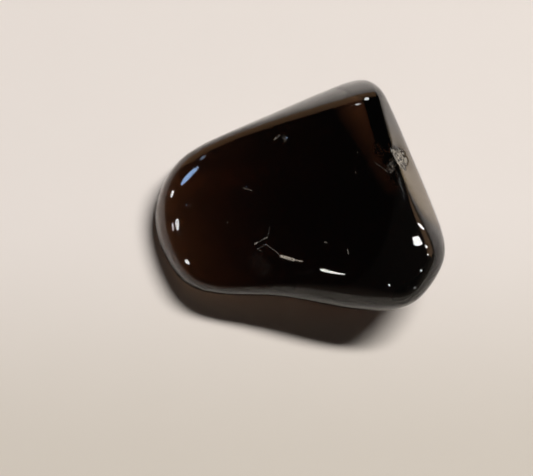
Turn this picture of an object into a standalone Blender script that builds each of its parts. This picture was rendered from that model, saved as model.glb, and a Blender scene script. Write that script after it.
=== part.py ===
# Smoky quartz pocket stone: one tumbled piece of quartz, a rounded wedge that is thin at its
# left end and thick at its right. It has a broad sloping main face, a corner face, a narrow
# facet down its right side and a waist along its near side. It lies on a flat worn into its
# underside, with +Z up and the near side towards -Y.
import bpy
import bmesh
import numpy as np

MM = 0.001

# The stone's centre stands this far above the flat that it lies on.
CENTRE_HEIGHT = 5.1

# Each face is (azimuth, elevation) of its outward normal in degrees, and its distance from
# the stone's centre in millimetres. Azimuth 0 is +X and 90 is +Y, elevation 90 is +Z.
TUMBLED_FACES = {
    "main face": (192.5, 68.4, 5.68),
    "corner face": (331.8, 56.6, 14.27),
    "far bevel": (118.4, 43.5, 9.34),
    "far left bevel": (151.8, 38.8, 12.17),
    "left roll": (192.7, 33.6, 13.13),
    "near left roll": (220.2, 32.3, 14.26),
    "near roll, upper": (247.5, 49.9, 10.57),
    "near roll, lower": (257.5, 29, 13.25),
    "far side": (115, 20, 10.2),
    "far left side": (154, 10, 14.9),
    "left end": (180, 0, 18.5),
    "left end, near": (203, -9, 17.7),
    "near left side": (223, -15, 17.2),
    "near side": (263.7, -22, 12.15),
    "near right side": (291, -21, 16.4),
    "right lobe": (324, -13, 17.8),
    "right end": (343, -7, 19.35),
    "right side": (21, 8, 13.12),
    "far right side": (65, 20, 16.5),
    "under right": (24, -39, 11.5),
    "under far right": (62, -39, 12.3),
    "under far": (106, -45, 12.3),
    "under far left": (161, -48, 16.4),
    "under left": (209, -46, 16.9),
    "under near": (259, -51, 13.2),
    "under near right": (296, -44, 13.6),
    "under right end": (338, -38, 13.6),
    "underside": (0, -90, 5.5),
}
# The faces above run softly into each other, and a larger number makes the edges sharper.
TUMBLED_SHARPNESS = 14

# The right facet was worn flat later than the rest, so both its ridges are crisp.
CRISP_FACES = {"right facet": (13.8, 31.3, 13.62)}
CRISP_SHARPNESS = 45

# A hollow is (azimuth, elevation, share of the radius taken off, angular width in radians).
# The peak dip lies where the main face, the corner face and the right facet meet.
HOLLOWS = {
    "near waist": (264, -20, 0.15, 0.30),
    "peak dip": (6.4, 39, 0.022, 0.07),
}

# Half widths of the ellipsoid whose directions the surface points are spread over.
POINT_SPREAD = (16.0, 14.0, 8.5)
CUBE_CUTS = 30

SMOKE_COLOUR = (0.05, 0.03, 0.018, 1.0)
QUARTZ_IOR = 1.544


def direction(azimuth, elevation):
    azimuth, elevation = np.radians(azimuth), np.radians(elevation)
    return np.array(
        [
            np.cos(elevation) * np.cos(azimuth),
            np.cos(elevation) * np.sin(azimuth),
            np.sin(elevation),
        ]
    )


def reach(towards, faces):
    """For each unit direction, its share of the way out to each face."""
    normals = np.array([direction(azimuth, elevation) for azimuth, elevation, _ in faces])
    distances = np.array([distance for _, _, distance in faces])
    return np.maximum(towards @ normals.T, 0) / distances


def radius(towards):
    """The stone's radius in millimetres along each unit direction.

    One over the radius is the largest share over all faces. Taking a power mean in place of
    the largest rounds the edges, softly among the tumbled faces and crisply at the facet.
    """
    tumbled = reach(towards, TUMBLED_FACES.values())
    inverse = (tumbled**TUMBLED_SHARPNESS).sum(axis=1) ** (1 / TUMBLED_SHARPNESS)
    crisp = reach(towards, CRISP_FACES.values())
    inverse = (inverse**CRISP_SHARPNESS + (crisp**CRISP_SHARPNESS).sum(axis=1)) ** (
        1 / CRISP_SHARPNESS
    )
    for azimuth, elevation, depth, width in HOLLOWS.values():
        closeness = towards @ direction(azimuth, elevation) - 1
        inverse *= 1 + depth * np.exp(closeness / width**2)
    return 1 / inverse


def stone_mesh():
    """A cube cut into a fine grid, with every point moved out to the stone's surface."""
    grid = bmesh.new()
    bmesh.ops.create_cube(grid, size=2)
    bmesh.ops.subdivide_edges(grid, edges=grid.edges[:], cuts=CUBE_CUTS - 1, use_grid_fill=True)
    points = np.array([vertex.co for vertex in grid.verts])
    even = np.tan(points * np.pi / 4) * POINT_SPREAD
    towards = even / np.linalg.norm(even, axis=1, keepdims=True)
    surface = towards * radius(towards)[:, None]
    surface[:, 2] = np.maximum(surface[:, 2] + CENTRE_HEIGHT, 0)
    for vertex, place in zip(grid.verts, surface * MM):
        vertex.co = place
    bmesh.ops.triangulate(grid, faces=grid.faces[:], quad_method="SHORT_EDGE")
    bmesh.ops.recalc_face_normals(grid, faces=grid.faces[:])
    mesh = bpy.data.meshes.new("quartz_stone")
    grid.to_mesh(mesh)
    grid.free()
    mesh.shade_smooth()
    return mesh


def smoky_quartz():
    material = bpy.data.materials.new("smoky_quartz")
    material.use_nodes = True
    shader = material.node_tree.nodes["Principled BSDF"]
    shader.inputs["Base Color"].default_value = SMOKE_COLOUR
    shader.inputs["Metallic"].default_value = 0.0
    shader.inputs["Roughness"].default_value = 0.04
    shader.inputs["IOR"].default_value = QUARTZ_IOR
    shader.inputs["Transmission Weight"].default_value = 1.0
    return material


def main():
    for old in list(bpy.data.objects):
        bpy.data.objects.remove(old, do_unlink=True)
    stone = bpy.data.objects.new("quartz_stone", stone_mesh())
    stone.data.materials.append(smoky_quartz())
    bpy.context.scene.collection.objects.link(stone)


main()
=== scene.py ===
import bpy
import numpy as np
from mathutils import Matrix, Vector


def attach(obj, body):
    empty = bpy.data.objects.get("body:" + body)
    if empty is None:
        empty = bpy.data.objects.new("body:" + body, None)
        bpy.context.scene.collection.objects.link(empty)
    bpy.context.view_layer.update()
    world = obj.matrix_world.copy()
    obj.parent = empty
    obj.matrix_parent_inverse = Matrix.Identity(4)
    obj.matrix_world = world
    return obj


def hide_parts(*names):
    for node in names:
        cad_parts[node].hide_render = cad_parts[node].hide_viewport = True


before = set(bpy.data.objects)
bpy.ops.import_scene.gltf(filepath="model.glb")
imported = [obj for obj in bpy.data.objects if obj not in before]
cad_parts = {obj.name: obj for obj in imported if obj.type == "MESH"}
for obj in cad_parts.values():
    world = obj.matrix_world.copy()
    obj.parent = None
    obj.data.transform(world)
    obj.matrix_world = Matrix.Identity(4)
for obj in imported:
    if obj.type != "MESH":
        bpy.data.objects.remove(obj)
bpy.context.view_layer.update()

mm = 0.001

# Smoky quartz pocket stone. The stone's own frame is the model's: +Z up, near side towards -Y.
# Directions are (azimuth, elevation) in degrees, azimuth 0 is +X and 90 is +Y.

# The stone's form, in millimetres. Each face is (azimuth, elevation, distance from the centre).
stoneForm = {
    "gridCells": 127,              # cells along each side of the six grids
    "centreHeight": 5.1,           # of the centre above the flat that it lies on
    "spread": (16.0, 14.0, 8.5),   # half widths of the ellipsoid that the points are spread over
    "gather": (0.9, 0.30),         # how strongly the points gather at the peak chip, and how widely
    "tumbledSharpness": 14,        # larger makes the worn edges sharper
    "crispSharpness": 45,          # the same for the two ridges of the right facet
    "tumbledFaces": {
        "main face": (192.5, 68.4, 5.68),
        "corner face": (331.8, 56.6, 14.27),
        "far bevel": (118.4, 43.5, 9.34),
        "far left bevel": (151.8, 38.8, 12.17),
        "left roll": (192.7, 33.6, 13.13),
        "near left roll": (220.2, 32.3, 14.26),
        "near roll, upper": (247.5, 49.9, 10.57),
        "near roll, lower": (257.5, 29, 13.25),
        "far side": (115, 20, 10.2),
        "far left side": (154, 10, 14.9),
        "left end": (180, 0, 18.5),
        "left end, near": (203, -9, 17.7),
        "near left side": (223, -15, 17.2),
        "near side": (263.7, -22, 12.15),
        "near right side": (291, -21, 16.4),
        "right lobe": (324, -13, 17.8),
        "right end": (343, -7, 19.35),
        "right side": (21, 8, 13.12),
        "far right side": (65, 20, 16.5),
        "under right": (24, -39, 11.5),
        "under far right": (62, -39, 12.3),
        "under far": (106, -45, 12.3),
        "under far left": (161, -48, 16.4),
        "under left": (209, -46, 16.9),
        "under near": (259, -51, 13.2),
        "under near right": (296, -44, 13.6),
        "under right end": (338, -38, 13.6),
        "underside": (0, -90, 5.5),
    },
    "crispFaces": {"right facet": (13.8, 31.3, 13.62)},
    # (azimuth, elevation, share of the radius taken off, angular width in radians)
    "hollows": {
        "near waist": (264, -20, 0.15, 0.30),
        "peak dip": (6.4, 39, 0.022, 0.07),
    },
    "waveHeight": 0.010,           # of the faint unevenness that tumbling leaves
    "waveLengths": (3.0, 9.0),
    "waveCount": 24,
}

# Chips broken out of the surface: azimuth and elevation of the place, half length, half width
# and depth in millimetres, turn of the length away from level in degrees, and how frosty it is.
chips = {
    "peak chip": (4.3, 38.9, 1.30, 1.85, 0.07, 20, 0.95),
    "peak chip, inner end": (-3.4, 45.2, 0.90, 0.55, 0.10, -30, 0.26),
    "ridge crumb": (-8.6, 43.1, 0.36, 0.15, 0.06, -20, 0.22),
    "ridge crumb, low": (-11.1, 41.5, 0.22, 0.12, 0.05, -10, 0.20),
    "main face nick, left arm": (119.4, 45.0, 0.46, 0.17, 0.05, -62, 0.34),
    "main face nick, right arm": (112.0, 49.6, 0.60, 0.22, 0.05, 12, 0.26),
    "near slot": (-62.5, 13.6, 0.46, 0.16, 0.12, 10, 0.0),
    "near tick": (-107.0, 8.8, 0.36, 0.12, 0.04, 60, 0.5),
    "rim pit": (-27.2, 13.6, 0.30, 0.20, 0.06, 0, 0.2),
    "facet pit, upper": (-10.2, 31.0, 0.10, 0.14, 0.04, 0, 0.0),
    "facet pit, middle": (-8.9, 26.5, 0.10, 0.26, 0.06, 20, 0.0),
    "facet pit, lower": (-10.5, 23.5, 0.12, 0.14, 0.04, 0, 0.0),
    "left rim nick": (-148.8, -3.2, 0.42, 0.26, 0.05, -15, 0.6),
    "far nick": (96.0, 8.0, 0.55, 0.38, 0.07, 25, 0.7),
    "far left nick": (150.0, 4.0, 0.40, 0.32, 0.06, -35, 0.8),
    "under right bruise": (28.0, -16.0, 0.75, 0.50, 0.08, 15, 0.9),
}

# How every chip breaks. Lengths are in millimetres.
chipBreak = {
    # Waves that make the border uneven: share of the size, waves round it, times the phase.
    "borderWaves": ((0.08, 3, 1), (0.06, 5, -2), (0.05, 9, 3), (0.03, 17, -1)),
    "phaseStep": 1.3,              # between one chip and the next
    "thickness": 2.5,              # a chip takes nothing further than this from its middle's level
    "bowl": 0.6,                   # exponent: smaller makes the floor flatter and the rim steeper
    "floor": 0.7,                  # share of the depth that is taken off everywhere
    "rings": (0.12, 9),            # share of the depth, and radians per millimetre
    "steps": 0.6,                  # share of the depth
    "stepSize": 0.22,
    "stepLean": 0.8,
    "stepCounts": (6, 900),        # the fewest and the most steps in a chip
    "frostFrom": 0.15,             # share of the depth from which the frost is full
}


# Unit vectors from azimuths and elevations in degrees: (cos e cos a, cos e sin a, sin e).
def direction(azimuth, elevation):
    azimuth, elevation = np.radians(azimuth), np.radians(elevation)
    return np.array([
        np.cos(elevation) * np.cos(azimuth),
        np.cos(elevation) * np.sin(azimuth),
        np.sin(elevation),
    ])


# Share of the way out to each face: cosine to the face's normal, over the face's distance.
def faceShares(towards, faces):
    normals = np.array([direction(azimuth, elevation) for azimuth, elevation, _ in faces])
    distances = np.array([distance for _, _, distance in faces])
    return np.maximum(towards @ normals.T, 0) / distances


# One over the radius is the power mean of the shares: (sum of share^p)^(1/p), p being the
# sharpness, first over the tumbled faces and then with the crisp one. Each hollow multiplies it
# by 1 + depth * exp((cosine - 1) / width^2).
def stoneRadius(towards):
    soft, crisp = stoneForm["tumbledSharpness"], stoneForm["crispSharpness"]
    tumbled = faceShares(towards, stoneForm["tumbledFaces"].values())
    inverse = (tumbled**soft).sum(axis=1) ** (1 / soft)
    cut = faceShares(towards, stoneForm["crispFaces"].values())
    inverse = (inverse**crisp + (cut**crisp).sum(axis=1)) ** (1 / crisp)
    for azimuth, elevation, depth, width in stoneForm["hollows"].values():
        inverse *= 1 + depth * np.exp((towards @ direction(azimuth, elevation) - 1) / width**2)
    return 1 / inverse


# Faint unevenness: the mean of plane waves, sin(2 pi * place along the wave / length + phase),
# longer waves counting for more, times the root of their count.
def unevenness(points):
    rng = np.random.default_rng(11)
    count = stoneForm["waveCount"]
    along = rng.normal(size=(count, 3))
    along /= np.linalg.norm(along, axis=1, keepdims=True)
    lengths = rng.uniform(*stoneForm["waveLengths"], count)
    phases = rng.uniform(0, 2 * np.pi, count)
    waves = np.sin(2 * np.pi * (points @ along.T) / lengths + phases)
    return stoneForm["waveHeight"] * (waves * lengths).sum(axis=1) / lengths.sum() * np.sqrt(count)


# The middle of a chip on the surface and its three axes: level along the surface, up the
# surface, and outwards. The outward one is the gradient of distance / radius, by differences.
def chipAxes(azimuth, elevation, turn):
    centre = direction(azimuth, elevation)
    centre = centre * stoneRadius(centre[None])[0]
    step = 0.05 * np.eye(3)
    probes = np.concatenate([centre + step, centre - step])
    far = np.linalg.norm(probes, axis=1)
    level = far / stoneRadius(probes / far[:, None])
    outward = level[:3] - level[3:]
    outward /= np.linalg.norm(outward)
    along = np.cross((0, 0, 1), outward)
    along /= np.linalg.norm(along)
    up = np.cross(outward, along)
    turn = np.radians(turn)
    along, up = along * np.cos(turn) + up * np.sin(turn), up * np.cos(turn) - along * np.sin(turn)
    return centre, np.array([along, up, outward])


# How far a place lies out from the middle of a chip, 1 on its border: the length of (along, up)
# over the half sizes, with the border made uneven by waves round it. Off the chip it is infinite.
def chipReach(local, halfLength, halfWidth, phase):
    across, above = local[:, 0] / halfLength, local[:, 1] / halfWidth
    angle = np.arctan2(above, across)
    border = 1 + sum(
        share * np.sin(waves * angle + times * phase)
        for share, waves, times in chipBreak["borderWaves"]
    )
    return np.where(abs(local[:, 2]) < chipBreak["thickness"], np.hypot(across, above) / border, np.inf)


# Small broken steps, from 0 to 1: each place takes the leaning plane of the nearest of many
# scattered points, so the planes meet in sharp little edges.
def brokenSteps(local, rng):
    size = chipBreak["stepSize"]
    half = abs(local).max(axis=0) + size
    count = int(np.clip(np.prod(2 * half[:2]) / size**2, *chipBreak["stepCounts"]))
    points = rng.uniform(-1, 1, (count, 3)) * half
    leans = rng.normal(size=(count, 3)) * chipBreak["stepLean"]
    nearest = ((local[:, None, :2] - points[None, :, :2]) ** 2).sum(axis=2).argmin(axis=1)
    lean = ((local - points[nearest]) * leans[nearest])[:, :2].sum(axis=1)
    return np.clip(0.5 + lean / size, 0, 1)


# Takes every chip out of the surface. Its floor lies below the level of its middle by depth *
# (1 - reach^2)^bowl, times a share with rings round the place that was struck and small steps. What
# stands above the floor is taken down to it, so a chip ends where the surface falls away, and its
# rim is a sharp edge. Returns how frosty each point is.
def breakChips(points):
    frost = np.zeros(len(points))
    ringHeight, ringTurn = chipBreak["rings"]
    for number, place in enumerate(chips.values()):
        azimuth, elevation, halfLength, halfWidth, depth, turn, frosty = place
        centre, axes = chipAxes(azimuth, elevation, turn)
        local = (points - centre) @ axes.T
        reach = chipReach(local, halfLength, halfWidth, chipBreak["phaseStep"] * number)
        inside = np.nonzero(reach < 1)[0]
        local, bowl = local[inside], (1 - reach[inside] ** 2) ** chipBreak["bowl"]
        struck = np.hypot(local[:, 0] - halfLength, local[:, 1] + halfWidth)
        steps = brokenSteps(local, np.random.default_rng(40 + number))
        share = chipBreak["floor"] + ringHeight * np.sin(struck * ringTurn) + chipBreak["steps"] * steps
        cut = np.maximum(local[:, 2] + depth * bowl * share, 0)
        points[inside] -= cut[:, None] * axes[2]
        full = chipBreak["frostFrom"] * depth
        frost[inside] = np.maximum(frost[inside], frosty * np.clip(cut / full, 0, 1))
    return frost


# Six grids on the sides of a cube. A lattice place on a side, from -1 to 1, becomes the direction
# tan(place * pi / 4), stretched by the spread and made unit length. Then every direction leans
# to the peak chip: u + share * chip * exp((u . chip - 1) / width^2), so the points gather there.
def stoneGrid():
    cells = stoneForm["gridCells"]
    i, j = np.meshgrid(np.arange(cells + 1), np.arange(cells + 1), indexing="ij")
    flat = np.stack([2 * i - cells, 2 * j - cells, np.full_like(i, cells)], axis=-1).reshape(-1, 3)
    corner = (i[:-1, :-1] * (cells + 1) + j[:-1, :-1]).ravel()
    quads = np.stack([corner, corner + cells + 1, corner + cells + 2, corner + 1], axis=1)
    sides, faces = [], []
    for axis in range(3):
        turned = np.roll(flat, axis + 1, axis=1)
        for sign in (1, -1):
            faces.append((quads if sign == 1 else quads[:, ::-1]) + len(flat) * len(sides))
            sides.append(turned * np.where(np.arange(3) == axis, sign, 1))
    lattice, index = np.unique(np.concatenate(sides), axis=0, return_inverse=True)
    towards = np.tan(lattice / cells * np.pi / 4) * stoneForm["spread"]
    towards /= np.linalg.norm(towards, axis=1, keepdims=True)
    share, width = stoneForm["gather"]
    chip = direction(*chips["peak chip"][:2])
    towards += share * chip * np.exp((towards @ chip - 1) / width**2)[:, None]
    towards /= np.linalg.norm(towards, axis=1, keepdims=True)
    return towards, index.reshape(-1)[np.concatenate(faces)]


# The rim of the flat underside is a sharp edge: every edge between a flat face and another one.
def markBaseRim(mesh, flat):
    edges = np.empty(4 * len(flat), dtype=np.int32)
    mesh.loops.foreach_get("edge_index", edges)
    flatFaces = np.bincount(edges, weights=np.repeat(flat, 4), minlength=len(mesh.edges))
    mesh.attributes.new("sharp_edge", "BOOLEAN", "EDGE").data.foreach_set("value", flatFaces == 1)


def makeStone():
    towards, faces = stoneGrid()
    points = towards * stoneRadius(towards)[:, None]
    points += towards * unevenness(points)[:, None]
    frost = breakChips(points)
    points[:, 2] = np.maximum(points[:, 2] + stoneForm["centreHeight"], 0)
    mesh = bpy.data.meshes.new("smoky_quartz_stone")
    mesh.vertices.add(len(points))
    mesh.vertices.foreach_set("co", (points * mm).astype(np.float32).ravel())
    mesh.loops.add(faces.size)
    mesh.loops.foreach_set("vertex_index", faces.astype(np.int32).ravel())
    mesh.polygons.add(len(faces))
    mesh.polygons.foreach_set("loop_start", np.arange(0, faces.size, 4, dtype=np.int32))
    mesh.update(calc_edges=True)
    mesh.shade_smooth()
    markBaseRim(mesh, (points[faces, 2] == 0).all(axis=1))
    mesh.attributes.new("frost", "FLOAT", "POINT").data.foreach_set("value", frost.astype(np.float32))
    stone = bpy.data.objects.new("smoky_quartz_stone", mesh)
    bpy.context.scene.collection.objects.link(stone)
    return stone


# What a user would change in the quartz. Colours are linear, and lengths are in millimetres. A
# noise is (scale, detail, roughness), and an edge is the pair of values that a change runs between.
quartzLook = {
    "tint": (0.95, 0.88, 0.78, 1),
    "ior": 1.544,
    "spared": (0.42, 0.26, 0.12, 1),       # of each colour, by the absorption
    "density": 450,                        # a colour fades by density * (1 - spared) in a metre
    "polish": (0.012, 0.05),               # roughness where the polish is best and where smudged
    "smudgeNoise": (0.35, 4.0, 0.5),
    "smudgeEdge": (0.48, 0.72),
    "wornEdge": (0.6, 3.0),                # heights over which the underside's wear fades out
    "wornRoughness": 0.26,
    "pitScale": 1.1,                       # tiny pits in the polish
    "pitEdge": (0.03, 0.10),
    "pitDepth": 0.004,
    "scratchEdge": (0.5, 1.3),             # in half widths of the scratch
    "veilPlaces": ((-4.9, -9.0), (-4.1, -9.9)),  # (x, y) of the middles of the faint veil
    "veilEdge": (0.5, 1.3),
    "veilPatches": (0.35, 0.7),            # edge in the grain
    "veilFrost": 0.02,
    "frostColour": (0.62, 0.56, 0.47, 1),
    "frostRoughness": 0.62,
    "frostCover": 0.62,                    # how much of the light full frost holds back
    "grainNoise": (4.5, 4.0, 0.65),
    "raggedness": 0.9,                     # of the border of the frost
    "frostEdge": (0.1, 0.5),
    "brokenScale": 4.0,                    # of the broken grains in the frost
    "brokenEdge": (0.33, 0.77),            # in each grain's random value
    "brokenFrost": (0.08, 1.0),            # the least and the most that a grain shows of its frost
    "brokenRoughness": (0.4, 1.0),
    "brokenRelief": (1.6, 0.12),           # of the broken grains to the fine one, and of both
    # The right facet's haze is partly a duller polish and partly painted reflection: its warm diffuse
    # colour lightens the facet, standing in for the bright reflection of the paper.
    "hazeAndReflectionColour": (0.60, 0.43, 0.24, 1),
    "haze": 0.30,                          # of the right facet, less polished than the rest, and partly painted reflection
    "hazeEdge": (0.984, 0.995),            # in shares of the way out to the facet
    "hazeGrows": (6.0, -2.0, 0.12),        # Y where it starts to grow and is full, and its far share
    "hazeEnds": (-3.8, -6.5),              # Y where it starts to fade and is gone
    "hazeNoise": (3.0, 4.0, 0.65),
    "hazeUneven": (0.25, 0.75, 0.75, 1.25),  # edge in the noise, and the shares at its two ends
    "hazeRoughness": 0.25,                 # share of the frost's roughness
    "hazeTinted": 0.3,                     # haze from which its colour is full
    "paintedCornerLight": 0.0023,                  # painted light of the corner face, a faint cover that makes it a little lighter than the main face, so their border shows as a faint line
    "cornerEdge": (-0.01, 0.03),           # in shares beyond the main face
}

# Scratches and specks on the polish of the upper side: (x, y) of the start and of the end in
# millimetres as seen from above, half width, and how bright. A round speck ends where it starts.
scratches = {
    "left scratch": ((-6.35, -0.48), (-5.38, -0.94), 0.035, 0.18),
    "hook, low end": ((-4.98, -7.12), (-4.80, -6.98), 0.080, 0.62),
    "hook": ((-4.93, -7.07), (-3.94, -6.66), 0.035, 0.15),
    "hook, high end": ((-4.15, -6.72), (-3.70, -6.58), 0.065, 0.28),
    "upper streak": ((-3.44, -5.40), (-3.58, -6.35), 0.050, 0.05),
    "crack, first leg": ((-4.79, -7.74), (-3.81, -7.34), 0.032, 0.13),
    "crack, second leg": ((-3.81, -7.34), (-2.80, -8.22), 0.032, 0.20),
    "crack, third leg": ((-2.80, -8.22), (-2.30, -8.82), 0.032, 0.26),
    # Painted highlight: the streak and its tail are a white frosty mark, lit by the key, in place of a
    # lamp's reflection on the near roll.
    "streak": ((-2.20, -8.90), (-0.90, -9.45), 0.170, 1.0),
    "streak, tail": ((-0.90, -9.45), (0.05, -9.75), 0.080, 0.9),
    "crack, short leg": ((-4.79, -7.74), (-4.20, -8.08), 0.028, 0.07),
    "left speck": ((-8.06, -4.21), (-8.06, -4.21), 0.07, 0.35),
    "right speck": ((6.04, 1.49), (6.04, 1.49), 0.06, 0.30),
    "right speck, low": ((5.79, -0.75), (5.79, -0.75), 0.06, 0.30),
    "mid speck": ((2.45, -8.00), (2.66, -8.12), 0.06, 0.22),
    "roll speck": ((4.82, -9.14), (4.93, -9.57), 0.05, 0.22),
    "chip scratch, first": ((7.80, 0.05), (8.72, -0.77), 0.032, 0.10),
    "chip scratch, second": ((8.85, -0.90), (9.23, -1.28), 0.034, 0.16),
}

# Dark pits in the right facet's haze and painted reflection: start and end in millimetres, and half
# width.
facetPits = {
    "upper": ((12.20, -2.15, 12.65), (12.32, -2.26, 12.52), 0.07),
    "middle": ((12.62, -1.95, 11.95), (12.98, -2.08, 11.30), 0.06),
    "lower": ((13.28, -2.42, 11.02), (13.36, -2.52, 10.90), 0.07),
    "chip, lower side": ((11.10, -0.55, 13.10), (11.75, -0.75, 12.30), 0.10),
    "chip, right side": ((11.20, 0.60, 12.90), (11.40, 0.20, 12.60), 0.07),
    "chip, upper side": ((9.75, 1.95, 14.45), (9.95, 1.70, 14.30), 0.09),
}


# The point of the upper surface at (x, y), in millimetres: the height is halved in on as the
# place where the distance from the centre equals the radius.
def onTop(x, y, highest=20.0, halvings=40):
    low, high = 0.0, highest
    for _ in range(halvings):
        height = (low + high) / 2
        point = np.array([x, y, height - stoneForm["centreHeight"]])
        far = np.linalg.norm(point)
        if far < stoneRadius(point[None] / far)[0]:
            low = height
        else:
            high = height
    return (x, y, high)


def newNode(tree, kind, **settings):
    node = tree.nodes.new(kind)
    for name, value in settings.items():
        setattr(node, name, value)
    return node


# Links a socket to an input, or puts a number, a vector or a colour on it.
def feed(tree, value, into):
    if isinstance(value, bpy.types.NodeSocket):
        tree.links.new(value, into)
    else:
        into.default_value = value


def mathNode(tree, operation, *values, clamp=False):
    node = newNode(tree, "ShaderNodeMath", operation=operation, use_clamp=clamp)
    for into, value in zip(node.inputs, values):
        feed(tree, value, into)
    return node.outputs[0]


def vectorNode(tree, operation, *values):
    node = newNode(tree, "ShaderNodeVectorMath", operation=operation)
    for into, value in zip(node.inputs, values):
        feed(tree, value, into)
    return node.outputs["Value" if operation in ("LENGTH", "DOT_PRODUCT", "DISTANCE") else "Vector"]


def splitNode(tree, vector):
    node = newNode(tree, "ShaderNodeSeparateXYZ")
    tree.links.new(vector, node.inputs[0])
    return node.outputs


def rampNode(tree, factor, low, high, lowValue=0.0, highValue=1.0):
    node = newNode(tree, "ShaderNodeMapRange", interpolation_type="SMOOTHSTEP")
    tree.links.new(factor, node.inputs["Value"])
    limits = {"From Min": low, "From Max": high, "To Min": lowValue, "To Max": highValue}
    for name, value in limits.items():
        node.inputs[name].default_value = value
    return node.outputs["Result"]


def noiseNode(tree, place, scale, detail, roughness):
    node = newNode(tree, "ShaderNodeTexNoise")
    tree.links.new(place, node.inputs["Vector"])
    for name, value in {"Scale": scale, "Detail": detail, "Roughness": roughness}.items():
        node.inputs[name].default_value = value
    return node.outputs["Fac"]


def cellsNode(tree, place, scale):
    node = newNode(tree, "ShaderNodeTexVoronoi")
    tree.links.new(place, node.inputs["Vector"])
    node.inputs["Scale"].default_value = scale
    return node.outputs


def mixNode(tree, factor, first, second, blend="MIX"):
    node = newNode(tree, "ShaderNodeMix", data_type="RGBA", blend_type=blend)
    for name, value in {"Factor": factor, "A": first, "B": second}.items():
        feed(tree, value, node.inputs[name])
    return node.outputs["Result"]


# The place on an object in its own millimetres.
def ownPlace(tree):
    own = newNode(tree, "ShaderNodeTexCoord").outputs["Object"]
    return vectorNode(tree, "MULTIPLY", own, (1 / mm,) * 3)


# One scratch: bright on the line from start to end, and gone a little beyond its half width.
def scratchMask(tree, place, start, end, halfWidth, bright):
    away = vectorNode(tree, "SUBTRACT", place, start)
    if start == end:
        distance = vectorNode(tree, "LENGTH", away)
    else:
        line = Vector(end) - Vector(start)
        share = vectorNode(tree, "DOT_PRODUCT", away, line / line.length_squared)
        share = mathNode(tree, "ADD", share, 0.0, clamp=True)
        onLine = newNode(tree, "ShaderNodeVectorMath", operation="SCALE")
        onLine.inputs[0].default_value = line
        tree.links.new(share, onLine.inputs["Scale"])
        distance = vectorNode(tree, "DISTANCE", away, onLine.outputs["Vector"])
    fades, ends = (halfWidth * share for share in quartzLook["scratchEdge"])
    return rampNode(tree, distance, fades, ends, bright, 0.0)


# The frost of the chips, with a ragged border.
def chipFrost(tree, grain):
    frost = newNode(tree, "ShaderNodeAttribute", attribute_name="frost").outputs["Fac"]
    raggedness = quartzLook["raggedness"]
    ragged = mathNode(tree, "MULTIPLY_ADD", grain, raggedness, -raggedness / 2)
    edge = rampNode(tree, mathNode(tree, "ADD", frost, ragged), *quartzLook["frostEdge"])
    return mathNode(tree, "MULTIPLY", frost, edge)


# The frost of the scratches, one of which is a painted highlight, and of a faint veil under the near
# end of the main face.
def polishMarks(tree, place, grain):
    masks = [
        scratchMask(tree, place, onTop(*start), onTop(*end), halfWidth, bright)
        for start, end, halfWidth, bright in scratches.values()
    ]
    patches = rampNode(tree, grain, *quartzLook["veilPatches"], 0.0, quartzLook["veilFrost"])
    for middle in quartzLook["veilPlaces"]:
        away = vectorNode(tree, "DISTANCE", place, onTop(*middle))
        veil = rampNode(tree, away, *quartzLook["veilEdge"], 1.0, 0.0)
        masks.append(mathNode(tree, "MULTIPLY", veil, patches))
    marks = masks[0]
    for mask in masks[1:]:
        marks = mathNode(tree, "MAXIMUM", marks, mask)
    return marks


# A face as a vector: its dot product with a place, seen from the stone's centre, is the place's
# share of the way out to the face.
def faceVector(group, name):
    azimuth, elevation, distance = stoneForm[group][name]
    return Vector(direction(azimuth, elevation) / distance)


# The right facet's haze, partly a duller polish and partly painted reflection that lightens the facet:
# full where the share of the way out to the facet is nearly 1, stronger towards the facet's near end,
# gone beyond it and in the pits, and a little uneven.
def facetHazeAndPaintedReflection(tree, place, fromCentre, nearness):
    level = vectorNode(tree, "DOT_PRODUCT", fromCentre, faceVector("crispFaces", "right facet"))
    starts, full, farShare = quartzLook["hazeGrows"]
    fades, ends = quartzLook["hazeEnds"]
    shares = [
        rampNode(tree, nearness, full, starts, 1.0, farShare),
        rampNode(tree, nearness, ends, fades),
        rampNode(tree, noiseNode(tree, place, *quartzLook["hazeNoise"]), *quartzLook["hazeUneven"]),
    ]
    for start, end, halfWidth in facetPits.values():
        pit = scratchMask(tree, place, start, end, halfWidth, 1.0)
        shares.append(mathNode(tree, "SUBTRACT", 1.0, pit))
    haze = rampNode(tree, level, *quartzLook["hazeEdge"])
    for share in shares:
        haze = mathNode(tree, "MULTIPLY", haze, share)
    return haze


# Painted light on the corner face, a faint cover that makes it a little lighter than the main face: it
# starts where the share of the way out to the corner face passes the share for the main face.
def paintedCornerLight(tree, fromCentre):
    between = faceVector("tumbledFaces", "corner face") - faceVector("tumbledFaces", "main face")
    beyond = vectorNode(tree, "DOT_PRODUCT", fromCentre, between)
    return rampNode(tree, beyond, *quartzLook["cornerEdge"], 0.0, quartzLook["paintedCornerLight"])


# How see-through each place is. Broken grains show a random share of the chips' frost, and the
# marks show the whole of theirs.
def seeThrough(tree, frost, marks, grainValue, haze, corner):
    shown = rampNode(tree, grainValue, *quartzLook["brokenEdge"], *quartzLook["brokenFrost"])
    chipped = mathNode(tree, "MULTIPLY", frost, shown)
    whole = mathNode(tree, "MULTIPLY", frost, rampNode(tree, marks, 0.0, quartzLook["veilFrost"]))
    cover = mathNode(tree, "MAXIMUM", chipped, whole)
    # The facet's haze, partly painted reflection, holds back some light too.
    cover = mathNode(tree, "MAXIMUM", cover, mathNode(tree, "MULTIPLY", haze, quartzLook["haze"]))
    # The corner face's painted light holds back a little more.
    cover = mathNode(tree, "ADD", cover, corner, clamp=True)
    heldBack = mathNode(tree, "MULTIPLY", cover, quartzLook["frostCover"])
    return mathNode(tree, "SUBTRACT", 1.0, heldBack, clamp=True)


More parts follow.
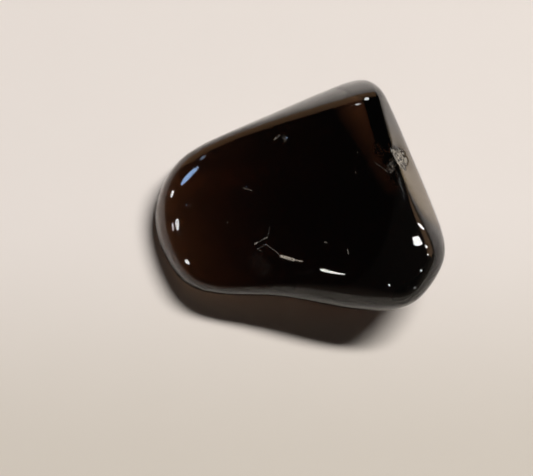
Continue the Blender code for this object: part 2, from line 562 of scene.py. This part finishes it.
# Smudged polish, rough where it is frosty or hazed, and duller on the worn underside.
def quartzRoughness(tree, place, height, frost, grainValue, haze):
    smudges = noiseNode(tree, place, *quartzLook["smudgeNoise"])
    polish = rampNode(tree, smudges, *quartzLook["smudgeEdge"], *quartzLook["polish"])
    grains = rampNode(tree, grainValue, *quartzLook["brokenEdge"], *quartzLook["brokenRoughness"])
    rough = mathNode(tree, "MULTIPLY", frost, grains)
    hazed = mathNode(tree, "MULTIPLY", haze, quartzLook["hazeRoughness"])
    rough = mathNode(tree, "MAXIMUM", rough, hazed)
    rough = mathNode(tree, "MULTIPLY", rough, quartzLook["frostRoughness"])
    worn = rampNode(tree, height, *quartzLook["wornEdge"], quartzLook["wornRoughness"], 0.0)
    return mathNode(tree, "MAXIMUM", polish, mathNode(tree, "MAXIMUM", rough, worn))


# Relief: tiny pits all over, and fine and broken grain in the frost.
def quartzRelief(tree, place, frost, grain, grainDistance):
    pits = cellsNode(tree, place, quartzLook["pitScale"])["Distance"]
    pits = rampNode(tree, pits, *quartzLook["pitEdge"], -quartzLook["pitDepth"], 0.0)
    brokenShare, height = quartzLook["brokenRelief"]
    broken = mathNode(tree, "MULTIPLY_ADD", grainDistance, brokenShare, grain)
    frosted = mathNode(tree, "MULTIPLY", broken, frost)
    bump = newNode(tree, "ShaderNodeBump")
    bump.inputs["Strength"].default_value = 1.0
    bump.inputs["Distance"].default_value = mm
    tree.links.new(mathNode(tree, "MULTIPLY_ADD", frosted, height, pits), bump.inputs["Height"])
    return bump.outputs["Normal"]


def smokyQuartz():
    material = bpy.data.materials.new("smoky_quartz")
    material.use_nodes = True
    tree = material.node_tree
    shader = tree.nodes["Principled BSDF"]
    place = ownPlace(tree)
    along = splitNode(tree, place)
    fromCentre = vectorNode(tree, "SUBTRACT", place, (0, 0, stoneForm["centreHeight"]))
    grain = noiseNode(tree, place, *quartzLook["grainNoise"])
    grains = cellsNode(tree, place, quartzLook["brokenScale"])
    grainValue = splitNode(tree, grains["Color"])["X"]
    marks = polishMarks(tree, place, grain)
    frost = mathNode(tree, "MAXIMUM", chipFrost(tree, grain), marks)
    haze = facetHazeAndPaintedReflection(tree, place, fromCentre, along["Y"])
    corner = paintedCornerLight(tree, fromCentre)
    # The facet's haze colour, partly painted reflection.
    hazed = rampNode(tree, haze, 0.0, quartzLook["hazeTinted"])
    colour = mixNode(tree, hazed, quartzLook["tint"], quartzLook["hazeAndReflectionColour"])
    looks = {
        "Base Color": mixNode(tree, frost, colour, quartzLook["frostColour"]),
        "Transmission Weight": seeThrough(tree, frost, marks, grainValue, haze, corner),
        "Roughness": quartzRoughness(tree, place, along["Z"], frost, grainValue, haze),
        "Normal": quartzRelief(tree, place, frost, grain, grains["Distance"]),
    }
    for name, socket in looks.items():
        tree.links.new(socket, shader.inputs[name])
    shader.inputs["IOR"].default_value = quartzLook["ior"]
    smoke = newNode(tree, "ShaderNodeVolumeAbsorption")
    smoke.inputs["Color"].default_value = quartzLook["spared"]
    smoke.inputs["Density"].default_value = quartzLook["density"]
    tree.links.new(smoke.outputs["Volume"], tree.nodes["Material Output"].inputs["Volume"])
    return material


print("stone: working out the surface")
stone = makeStone()
stone.data.materials.append(smokyQuartz())
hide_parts("quartz_stone")
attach(stone, "root")
print("stone:", len(stone.data.vertices), "points,", 2 * len(stone.data.polygons), "triangles")


paperLook = {
    "size": 1.6,                           # metres
    "drop": 0.03,                          # millimetres below the stone's flat
    "colour": (0.83, 0.765, 0.72, 1),
    "mottle": (0.825, 0.76, 0.715, 1),
    "mottleNoise": (0.15, 5.0, 0.6),
    "mottleEdge": (0.3, 0.7),
    "paintedNearShade": (0.80, 0.79, 0.74, 1),    # painted shade: what the paper is multiplied by towards its near side
    "paintedShadeFrom": (2, -32),                 # millimetres in Y where the painted shade starts and is full
    "roughness": 0.9,
    "shine": 0.1,
}


def palePaper():
    material = bpy.data.materials.new("pale_paper")
    material.use_nodes = True
    tree = material.node_tree
    shader = tree.nodes["Principled BSDF"]
    place = ownPlace(tree)
    mottle = rampNode(tree, noiseNode(tree, place, *paperLook["mottleNoise"]), *paperLook["mottleEdge"])
    colour = mixNode(tree, mottle, paperLook["colour"], paperLook["mottle"])
    # Painted shade: the paper is darkened towards its near side.
    start, full = paperLook["paintedShadeFrom"]
    paintedShade = rampNode(tree, splitNode(tree, place)["Y"], full, start, 1.0, 0.0)
    colour = mixNode(tree, paintedShade, colour, paperLook["paintedNearShade"], blend="MULTIPLY")
    tree.links.new(colour, shader.inputs["Base Color"])
    shader.inputs["Roughness"].default_value = paperLook["roughness"]
    shader.inputs["Specular IOR Level"].default_value = paperLook["shine"]
    return material


def paperFloor():
    half, low = paperLook["size"] / 2, -paperLook["drop"] * mm
    corners = [(x * half, y * half, low) for x, y in ((-1, -1), (1, -1), (1, 1), (-1, 1))]
    mesh = bpy.data.meshes.new("paper")
    mesh.from_pydata(corners, [], [(0, 1, 2, 3)])
    mesh.materials.append(palePaper())
    paper = bpy.data.objects.new("paper", mesh)
    bpy.context.scene.collection.objects.link(paper)


print("floor: pale paper")
paperFloor()


# Lamps that the stone only mirrors: azimuth and elevation of the direction that each shines from,
# width and height in degrees as the stone sees it, turn in degrees, radiance, and colour. The
# ellipses stand for windows and small lights, and the rectangles for a window and lit walls.
lampDistance = 1.5
ellipseLamps = {
    "window streak": (154.8, 34.3, 7.9, 3.4, -75, 11, (0.40, 0.62, 1.0)),
    "window pane": (145.0, 31.7, 6.4, 1.4, 51, 3, (0.55, 0.72, 1.0)),
    "left small": (158.2, 19.6, 7.4, 2.4, 87, 12, (1, 1, 1)),
    "left pair, right": (166.9, 29.8, 6.0, 1.8, -67, 12, (1, 1, 1)),
    "left pair, left": (169.1, 22.0, 5.2, 1.5, -66, 9, (1, 1, 1)),
    "left low": (180.0, 23.4, 8.0, 2.5, -71, 14, (1, 1, 1)),
    "near strip": (-131.2, 38.5, 24.0, 1.0, -39.4, 16, (1, 1, 0.92)),
    "right slit": (7.8, 12.7, 13.1, 1.0, -59, 18, (1, 1, 1)),
    "right spark": (-0.2, 16.6, 3.7, 1.2, -63, 16, (1, 1, 1)),
    "right spark, middle": (-3.3, 13.9, 3.3, 0.8, -71, 12, (1, 1, 1)),
    "right spark, near": (-14.4, 17.8, 3.7, 1.6, -75, 14, (1, 1, 1)),
    "right spark, low": (-37.9, 10.7, 7.0, 3.4, -59, 10, (1, 1, 1)),
    "near spark": (-93.0, 25.0, 3.5, 1.8, 52, 14, (1, 1, 1)),
    "far spark": (119.1, 30.6, 12.6, 3.5, 57, 12, (1, 1, 1)),
    "far spark, second": (131.4, 37.8, 5.1, 0.9, 50, 9, (1, 1, 1)),
}
rectangleLamps = {
    "right window": (-3.6, 24.2, 7.2, 1.4, -56, 20, (1, 0.99, 0.97)),
    "far wall": (112, 12, 60, 34, 0, 0.58, (1, 0.56, 0.28)),
    "right wall": (14, 12, 34, 11, 0, 0.9, (1, 0.60, 0.34)),
}
# The key lamp, in the same order. It lights the paper and the stone, and isn't mirrored.
keyLamp = (25, 63, 31, 7.5, 58, 61, (1, 0.985, 0.965))


# An area lamp that faces the stone's middle. Its power is pi * area * radiance.
def areaLamp(name, shape, azimuth, elevation, width, height, turn, radiance, colour):
    light = bpy.data.lights.new(name, "AREA")
    light.shape = shape
    light.size = 2 * lampDistance * np.tan(np.radians(width / 2))
    light.size_y = 2 * lampDistance * np.tan(np.radians(height / 2))
    area = light.size * light.size_y * (np.pi / 4 if shape == "ELLIPSE" else 1)
    light.energy = np.pi * area * radiance
    light.color = colour
    lamp = bpy.data.objects.new(name, light)
    towards = Vector(direction(azimuth, elevation))
    lamp.location = towards * lampDistance + Vector((0, 0, stoneForm["centreHeight"] * mm))
    lamp.rotation_euler = towards.to_track_quat("Z", "Y").to_euler()
    lamp.rotation_euler.rotate_axis("Z", np.radians(turn))
    lamp.visible_camera = False
    bpy.context.scene.collection.objects.link(lamp)
    return lamp


print("lights: a key lamp and", len(ellipseLamps) + len(rectangleLamps), "lamps that are only mirrored")
for shape, group in (("ELLIPSE", ellipseLamps), ("RECTANGLE", rectangleLamps)):
    for name, values in group.items():
        glint = areaLamp(name, shape, *values)
        glint.visible_diffuse = False
        glint.visible_transmission = False
areaLamp("key", "ELLIPSE", *keyLamp).visible_glossy = False

# The room is dim overhead and a little lighter just above the table.
roomLook = {"overhead": (0.020, 0.018, 0.017, 1), "horizon": (0.16, 0.13, 0.105, 1), "glowTop": 0.30}


def dimRoom():
    world = bpy.data.worlds.new("dim_room")
    bpy.context.scene.world = world
    world.use_nodes = True
    tree = world.node_tree
    upward = splitNode(tree, newNode(tree, "ShaderNodeTexCoord").outputs["Generated"])["Z"]
    rise = rampNode(tree, upward, 0.0, roomLook["glowTop"])
    colour = mixNode(tree, rise, roomLook["horizon"], roomLook["overhead"])
    tree.links.new(colour, tree.nodes["Background"].inputs["Color"])


dimRoom()

# The photograph was taken from 68 degrees above the table, with 0.11 mm at the stone to each of
# its 533 pixels. The distance and the aim are in millimetres.
view = {
    "elevation": 68.0,
    "distance": 170.0,
    "aim": (-3.77, -5.755, 7.0),
    "mmPerPixel": 0.11,
    "pixels": 533,
}


def placeCamera():
    camera = bpy.data.cameras.new("camera")
    camera.sensor_fit = "HORIZONTAL"
    camera.lens = camera.sensor_width * view["distance"] / (view["mmPerPixel"] * view["pixels"])
    camera.clip_start = 0.01
    holder = bpy.data.objects.new("camera", camera)
    back = Vector(direction(-90, view["elevation"]))
    holder.location = (Vector(view["aim"]) + back * view["distance"]) * mm
    holder.rotation_euler = (np.radians(90 - view["elevation"]), 0, 0)
    bpy.context.scene.collection.objects.link(holder)
    bpy.context.scene.camera = holder


placeCamera()
scene = bpy.context.scene
scene.view_settings.view_transform = "Standard"
scene.cycles.use_denoising = True
scene.cycles.max_bounces = 18
scene.cycles.transmission_bounces = 18
scene.cycles.glossy_bounces = 12
scene.cycles.diffuse_bounces = 4
scene.cycles.volume_bounces = 0
scene.cycles.caustics_reflective = True
scene.cycles.caustics_refractive = True
